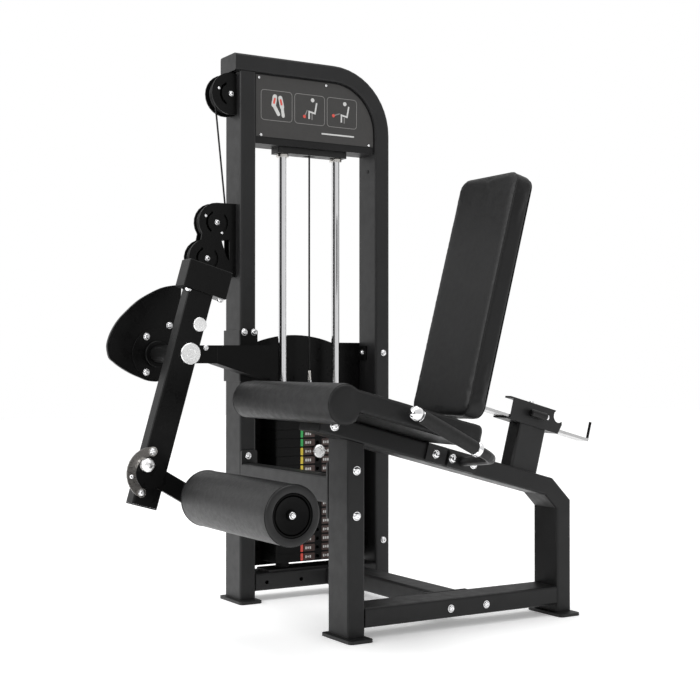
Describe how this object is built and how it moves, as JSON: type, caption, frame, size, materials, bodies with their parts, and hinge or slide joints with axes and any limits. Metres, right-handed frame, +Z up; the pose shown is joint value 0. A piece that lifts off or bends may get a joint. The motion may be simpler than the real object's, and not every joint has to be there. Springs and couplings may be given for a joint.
{
  "type": "leg extension machine",
  "caption": "Seated leg extension machine: cabled weight tower, knee lever with padded roller, sloped seat and sliding backrest.",
  "frame": {"origin": "on the floor under the centre of the tower's front upright", "axes": "+Z up, +X from the tower to the seat, the user faces -Y"},
  "size_m": [0.9775, 1.243, 1.587],
  "materials": {
    "powder_black": "satin black powder coat",
    "panel_black": "satin black sheet",
    "placard_grey": "warm grey printed sheet",
    "vinyl": "dark vinyl upholstery",
    "foam": "skinned foam",
    "rubber": "matt",
    "nylon_black": "satin nylon",
    "plate_black": "satin black weight plates",
    "cable_black": "coated steel cable",
    "chrome": "polished",
    "nickel": "satin nickel"
  },
  "bodies": {
    "frame": {"front_upright": "powder_black", "tower_arch": "powder_black", "tower_base_tube": "powder_black", "tower_front_foot": "powder_black", "tower_rear_foot": "powder_black", "seat_front_foot": "powder_black", "seat_rear_foot": "powder_black", "head_cover": "panel_black", "instruction_placard": "placard_grey", "rod_head_block": "powder_black", "guide_rod_front": "chrome", "guide_rod_rear": "chrome", "bumper_front": "rubber", "bumper_rear": "rubber", "stack_guard": "panel_black", "top_pulley_bracket": "powder_black", "inner_pulley_bracket": "powder_black", "mid_pulley_bracket": "powder_black", "cable_run": "cable_black", "cable_drop": "cable_black", "seat_beam": "powder_black", "seat_front_leg": "powder_black", "seat_bottom_rail": "powder_black", "front_cross_tube": "powder_black", "rear_cross_tube": "powder_black", "seat_pad": "vinyl", "backrest_post": "powder_black", "slide_bracket": "powder_black", "handle_left": "powder_black", "handle_right": "powder_black", "grip_left": "rubber", "grip_right": "rubber", "pivot_bracket": "powder_black", "rest_plates": "plate_black"},
    "lever": {"lever_tube": "powder_black", "counterweight": "powder_black", "cam_plate": "powder_black", "pivot_shaft": "chrome", "adjuster_plate": "nickel"},
    "roller_arm": {"roller_arm": "powder_black"},
    "adjuster_pin": {"adjuster_pin": "chrome"},
    "roller": {"foot_roller": "foam", "roller_end_cap": "nylon_black"},
    "top_pulley": {"top_pulley": "nylon_black"},
    "inner_pulley": {"inner_pulley": "nylon_black"},
    "mid_pulley_upper": {"mid_pulley_upper": "nylon_black"},
    "mid_pulley_lower": {"mid_pulley_lower": "nylon_black"},
    "stack": {"stack_plate_1": "plate_black", "stack_plate_2": "plate_black", "stack_plate_3": "plate_black", "stack_plate_4": "plate_black", "stack_plate_5": "plate_black", "stack_plate_6": "plate_black", "head_plate": "plate_black", "selector_stem": "chrome"},
    "selector_pin": {"selector_pin": "chrome"},
    "backrest": {"backrest_bar": "chrome", "backrest_pad": "vinyl"},
    "backrest_pin": {"backrest_pin": "nylon_black"}
  },
  "joints": [
    {"name": "lever_swing", "type": "hinge", "parent": "frame", "child": "lever", "pos_m": [0.218, -0.272, 0.716], "axis": [-1, 0, 0], "range_deg": [0, 95]},
    {"name": "roller_adjust", "type": "hinge", "parent": "lever", "child": "roller_arm", "pos_m": [0.2525, -0.391, 0.405], "axis": [1, 0, 0], "range_deg": [-30, 30]},
    {"name": "roller_spin", "type": "hinge", "parent": "roller_arm", "child": "roller", "pos_m": [0.614, -0.29105, 0.34613], "axis": [1, 0, 0], "continuous": true},
    {"name": "adjuster_pin_pull", "type": "slide", "parent": "roller_arm", "child": "adjuster_pin", "axis": [1, 0, 0], "range_m": [0, 0.012], "stiffness_N_per_m": 600, "springref_m": -0.005},
    {"name": "stack_lift", "type": "slide", "parent": "frame", "child": "stack", "axis": [0, 0, 1], "range_m": [0, 0.25], "deforming": ["cable_drop"]},
    {"name": "selector_pin_pull", "type": "slide", "parent": "stack", "child": "selector_pin", "axis": [1, 0, 0], "range_m": [0, 0.065]},
    {"name": "backrest_slide", "type": "slide", "parent": "frame", "child": "backrest", "axis": [0, 0.9659, -0.2588], "range_m": [-0.11, 0.07]},
    {"name": "backrest_pin_pull", "type": "slide", "parent": "frame", "child": "backrest_pin", "axis": [1, 0, 0], "range_m": [0, 0.01], "stiffness_N_per_m": 600, "springref_m": -0.005},
    {"name": "top_pulley_spin", "type": "hinge", "parent": "frame", "child": "top_pulley", "pos_m": [0, -0.043, 1.471], "axis": [1, 0, 0], "range_deg": [0, 341.29]},
    {"name": "inner_pulley_spin", "type": "hinge", "parent": "frame", "child": "inner_pulley", "pos_m": [0, 0.189, 1.471], "axis": [1, 0, 0], "range_deg": [0, 341.29]},
    {"name": "mid_pulley_upper_spin", "type": "hinge", "parent": "frame", "child": "mid_pulley_upper", "pos_m": [0, -0.085, 1.096], "axis": [1, 0, 0], "range_deg": [-358.25, 0]},
    {"name": "mid_pulley_lower_spin", "type": "hinge", "parent": "frame", "child": "mid_pulley_lower", "pos_m": [0, -0.116, 0.991], "axis": [1, 0, 0], "range_deg": [0, 358.25]}
  ],
  "couplings": [
    {"joint": "stack_lift", "follows": "lever_swing", "m_per_rad": 0.15},
    {"joint": "top_pulley_spin", "follows": "lever_swing", "ratio": 3.5714},
    {"joint": "inner_pulley_spin", "follows": "lever_swing", "ratio": 3.5714},
    {"joint": "mid_pulley_upper_spin", "follows": "lever_swing", "ratio": -3.75},
    {"joint": "mid_pulley_lower_spin", "follows": "lever_swing", "ratio": 3.75}
  ]
}
